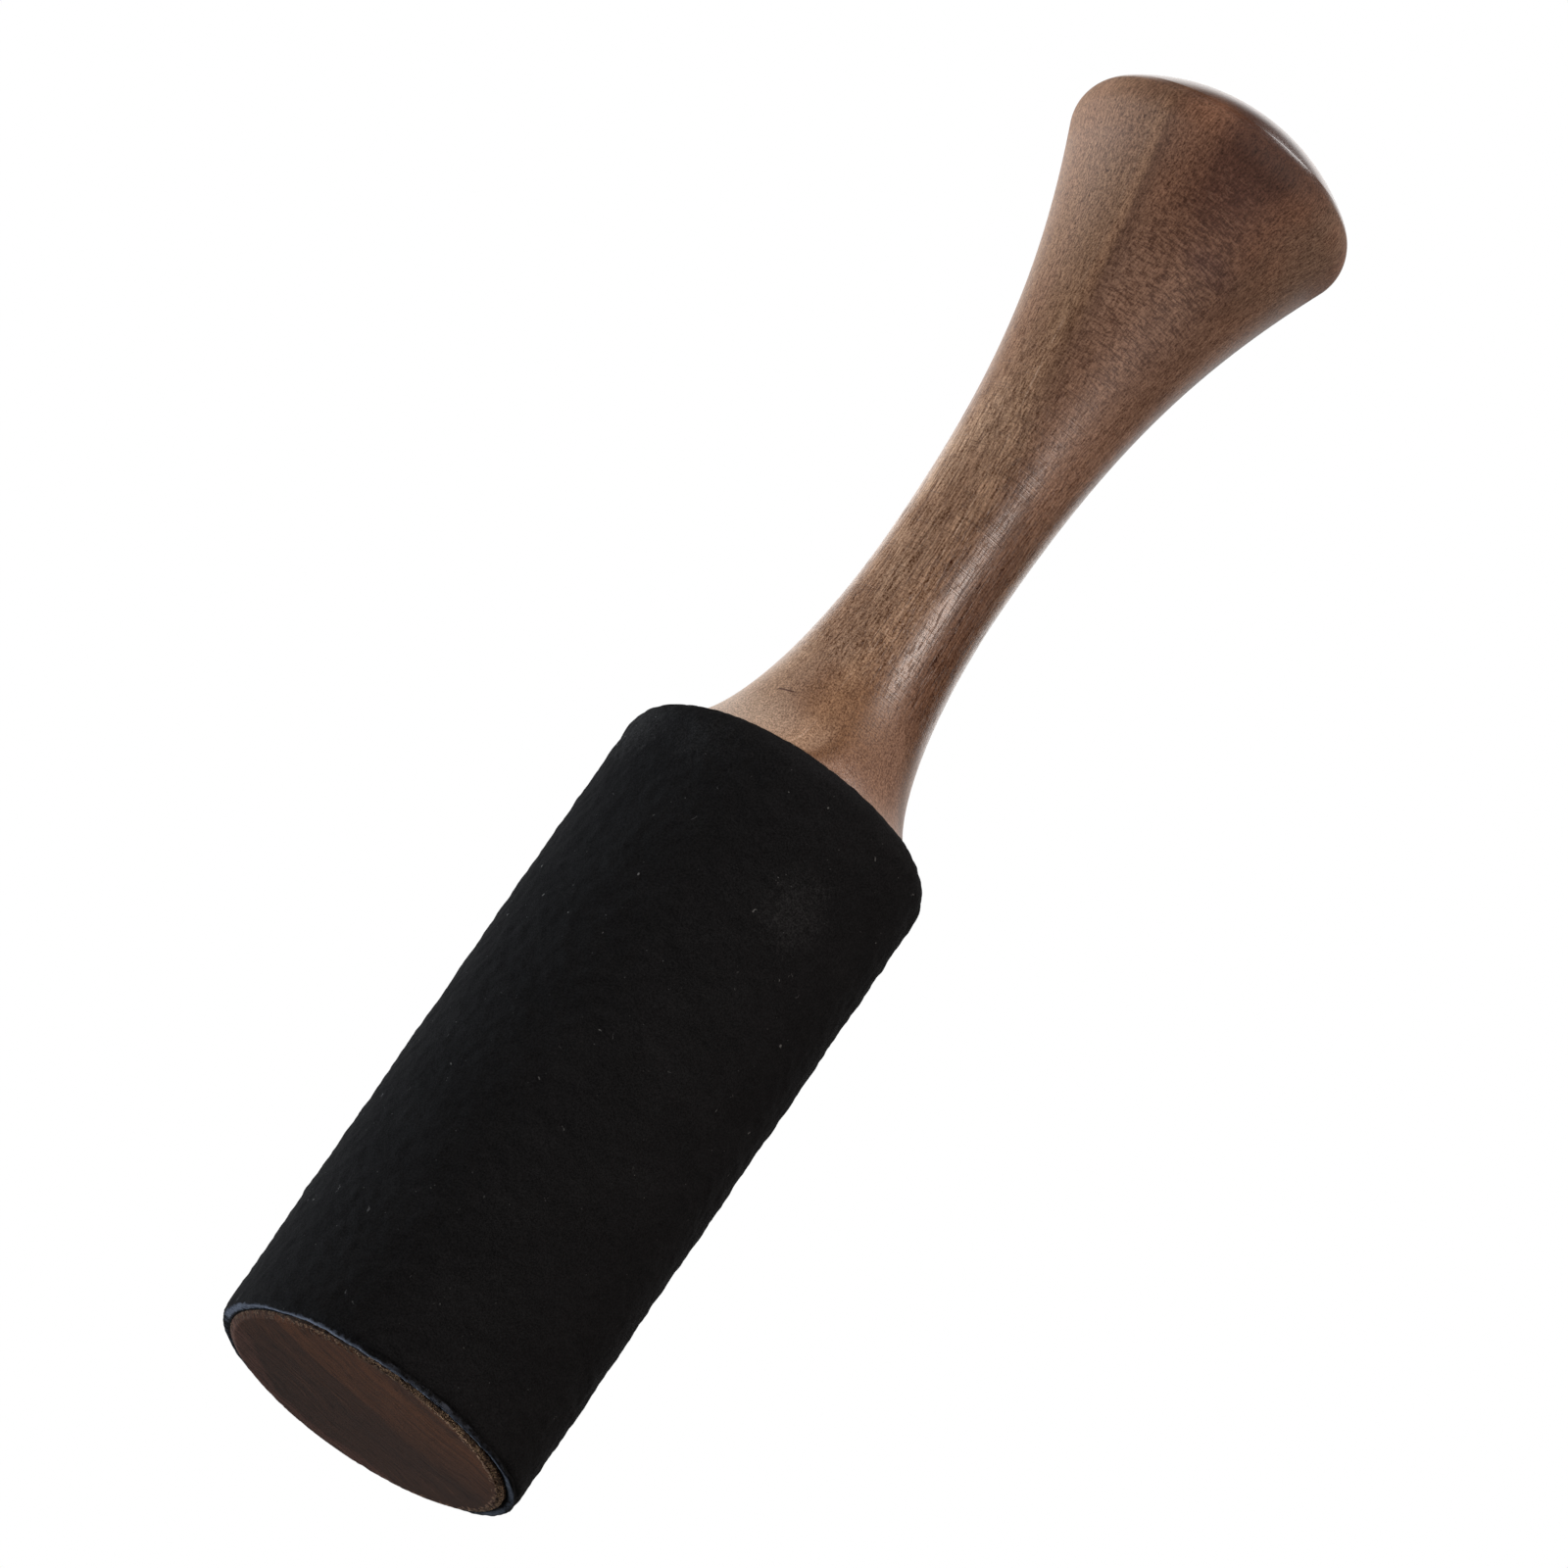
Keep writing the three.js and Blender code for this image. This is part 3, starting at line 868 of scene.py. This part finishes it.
def suede(s):
    """Black nap with lint on it, and the hide's paler core showing in the cut edge."""
    place = s.place()
    height = s.part(place, "Z")
    from_axis = s.length(s.squeezed(place, 1, 1, 0))

    brushed = s.noise(s.squeezed(place, 0.10, 0.10, 0.13), detail=3, rough=0.6)
    nap = s.noise(s.squeezed(place, 4.5, 4.5, 4.5), detail=2, rough=0.7)
    clumps = s.noise(s.squeezed(place, 1.4, 1.4, 1.4), detail=3, rough=0.6)
    base = s.mix(s.fade(brushed, 0.4, 0.7), colour(33, 33, 34), colour(36, 36, 37))
    # Painted shade: the suede is darker towards its left
    base = s.times(base, s.fade(s.part(place, "X"), *SUEDE_LEFT_SHADE))
    for middle, reach, strength in RUFFLED:
        uneven = s.total(off_patch(s, place, middle, reach), s.fade(clumps, 0.3, 0.7, 0.4, -0.4))
        ruffled = s.product(s.fade(uneven, 0.2, 1.1, strength, 0), s.fade(nap, 0.35, 0.65, 0.3, 1))
        base = s.mix(ruffled, base, colour(92, 92, 93))
    base = s.times(base, s.fade(nap, 0.25, 0.75, 0.6, 1.5))

    curled = s.vector("ADD", place, s.drift(s.squeezed(place, 1.3, 1.3, 1.3), 1.6, 1.6, 1.6))
    lint = s.specks(s.squeezed(curled, 0.36, 0.36, 0.33), size=0.075, share=0.5)
    lint = s.product(lint, s.fade(height, *LINT_BY_HEIGHT))
    fibres = s.specks(s.squeezed(curled, 0.9, 0.9, 0.2), size=0.11, share=0.14)
    base = s.mix(s.product(lint, 0.8), base, colour(135, 135, 134))
    base = s.mix(s.product(fibres, 0.6), base, colour(100, 100, 101))
    dust = s.specks(s.squeezed(place, 0.8, 0.8, 0.8), size=0.08, share=0.4)
    base = s.mix(s.product(dust, s.fade(brushed, 0.4, 0.65, 0.1, 0.7)), base, colour(110, 110, 110))

    fray = s.noise(s.squeezed(place, 1.8, 1.8, 1.8), detail=4, rough=0.7)
    wander = s.fade(fray, 0.3, 0.7, -0.10, 0.10)
    inner, outer = (millimetres(SLEEVE_RADIUS - SUEDE_THICKNESS * (1 - share)) for share in PALE_CORE)
    at_side = s.fade(s.math("ABSOLUTE", s.part(place, "X")), *AT_SIDE)
    across = s.total(from_axis, wander, s.product(at_side, CORE_INWARD))
    off_core = s.math("ABSOLUTE", s.math("SUBTRACT", across, (inner + outer) / 2))
    core = s.fade(s.total(off_core, s.product(at_side, -CORE_WIDER)), 0, (outer - inner) * 0.75, 1, 0)
    edge_height = millimetres(SUEDE_SETBACK)
    low_down = s.fade(s.total(height, wander), edge_height - 0.12, edge_height + 0.04, 1, 0)
    hide = s.mix(s.fade(fray, 0.35, 0.65), colour(96, 103, 118), colour(140, 149, 165))
    # Painted shade: the cut edge is darker at both sides
    for shade in CUT_EDGE_SHADES:
        hide = s.times(hide, s.fade(s.part(place, "X"), *shade))
    base = s.mix(s.product(core, low_down), base, hide)

    relief = s.total(s.product(nap, 0.10), s.product(clumps, 0.12))
    return base, s.fade(nap, 0.2, 0.8, 0.92, 1.0), relief


# Studio

LIT_PLACE = Vector((0, 0, 145)) * MM    # the middle of the handle
LIGHT_DISTANCE = 1.2
ROOM_STRENGTH = 0.03
BACKDROP_STRENGTH = 1.4

# The backdrop fades in and out with a direction's Z, and at its sides with the Y of its level part
BACKDROP_FOOT = (-0.35, 0.1)
BACKDROP_TOP = (0.62, 0.80, 1, 0)
BACKDROP_SIDES = (0.66, 0.88)


def way_to(azimuth, elevation):
    """Azimuth 0 is in front, at -Y, and grows towards +X."""
    a, e = math.radians(azimuth), math.radians(elevation)
    return Vector((math.sin(a) * math.cos(e), -math.cos(a) * math.cos(e), math.sin(e)))


def studio_light(name, azimuth, elevation, across, irradiance, tint=(1, 1, 1), glints=True):
    """A soft round light that faces the handle. across is the angle that it fills, seen from there."""
    away = way_to(azimuth, elevation)
    data = bpy.data.lights.new(name, "AREA")
    data.shape = "DISK"
    data.size = 2 * LIGHT_DISTANCE * math.tan(math.radians(across / 2))
    data.energy = irradiance * math.pi * LIGHT_DISTANCE ** 2
    data.color = tint
    light = bpy.data.objects.new(name, data)
    light.location = LIT_PLACE + away * LIGHT_DISTANCE
    light.rotation_mode = "QUATERNION"
    light.rotation_quaternion = away.to_track_quat("Z", "Y")
    light.visible_camera = False
    light.visible_glossy = glints
    bpy.context.scene.collection.objects.link(light)


def white_studio():
    """A room that the camera sees as plain white, with a bright backdrop behind the mallet."""
    world = bpy.data.worlds.new("white_studio")
    bpy.context.scene.world = world
    nodes = Nodes(world)
    direction = nodes.add("ShaderNodeTexCoord", out="Generated")
    level = nodes.length(nodes.squeezed(direction, 1, 1, 0))
    behind = nodes.math("DIVIDE", nodes.part(direction, "Y"), level)
    rise = nodes.part(direction, "Z")
    upright = nodes.product(nodes.fade(rise, *BACKDROP_FOOT), nodes.fade(rise, *BACKDROP_TOP))
    window = nodes.product(nodes.fade(behind, *BACKDROP_SIDES), upright)
    strength = nodes.total(nodes.product(window, BACKDROP_STRENGTH), ROOM_STRENGTH)
    white = (1, 1, 1)
    lit = nodes.add("ShaderNodeBackground", {"Color": white, "Strength": strength})
    seen = nodes.add("ShaderNodeBackground", {"Color": white, "Strength": 1.0})
    is_camera = nodes.add("ShaderNodeLightPath", out="Is Camera Ray")
    mixed = nodes.add("ShaderNodeMixShader", {0: is_camera, 1: lit, 2: seen})
    nodes.add("ShaderNodeOutputWorld", {"Surface": mixed})


FLOOR_REACH = 3.0
FLOOR_DROP = 0.5 * MM
FLOOR_SIDES = 96
FLOOR_FADE = (300, 1400)                # millimetres from the axis
FLOOR_COLOUR = (0.86, 0.86, 0.86)


def pale_floor():
    """A pale floor that shows from above only, because the photograph is taken from below its level."""
    made = bpy.data.materials.new("floor")
    nodes = Nodes(made)
    from_axis = nodes.length(nodes.place())
    pale = nodes.add("ShaderNodeBsdfDiffuse", {"Color": FLOOR_COLOUR})
    clear = nodes.add("ShaderNodeBsdfTransparent")
    from_below = nodes.add("ShaderNodeNewGeometry", out="Backfacing")
    hidden = nodes.math("MAXIMUM", from_below, nodes.fade(from_axis, *FLOOR_FADE))
    mixed = nodes.add("ShaderNodeMixShader", {0: hidden, 1: pale, 2: clear})
    nodes.add("ShaderNodeOutputMaterial", {"Surface": mixed})

    angles = np.linspace(0, 2 * math.pi, FLOOR_SIDES + 1)[:-1]
    rim = [(FLOOR_REACH * math.cos(a), FLOOR_REACH * math.sin(a), -FLOOR_DROP) for a in angles]
    mesh = bpy.data.meshes.new("floor")
    mesh.from_pydata(rim, [], [tuple(range(len(rim)))])
    mesh.materials.append(made)
    floor = bpy.data.objects.new("floor", mesh)
    floor.visible_diffuse = floor.visible_glossy = floor.visible_transmission = False
    floor.visible_shadow = False
    bpy.context.scene.collection.objects.link(floor)


make_camera()
white_studio()
pale_floor()
studio_light("left_light", azimuth=-115, elevation=-28, across=32, irradiance=4.1, tint=(0.95, 1, 1.06))
studio_light("right_light", azimuth=36, elevation=30, across=22, irradiance=1.4, tint=(1, 0.87, 0.80))
studio_light("front_fill", azimuth=-30, elevation=15, across=30, irradiance=0.5, glints=False)
studio_light("right_fill", azimuth=60, elevation=5, across=30, irradiance=0.15, glints=False)
studio_light("left_top_light", azimuth=-78, elevation=50, across=30, irradiance=0.9, glints=False)
studio_light("overhead_light", azimuth=-108, elevation=64, across=26, irradiance=0.25, glints=False)
studio_light("rear_top_light", azimuth=153, elevation=67, across=14, irradiance=0.22)


# The mallet

handle = turned(
    "turned_handle", handle_outline(), AROUND_WOOD,
    material("handle_wood", walnut, Specular_IOR_Level=0.7),
)
core = turned(
    "turned_head", core_outline(), AROUND_CORE,
    material("core_wood", end_grain, Specular_IOR_Level=0.12),
    core_relief,
)
wrap = suede_sleeve(material("suede", suede, Specular_IOR_Level=0.04))

for piece, node, slot in (
    (handle, "handle", "handle_wood"), (core, "head_core", "core_wood"), (wrap, "suede_sleeve", "suede"),
):
    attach(piece, "root")
    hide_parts(node)

bpy.context.scene.view_settings.view_transform = "Standard"
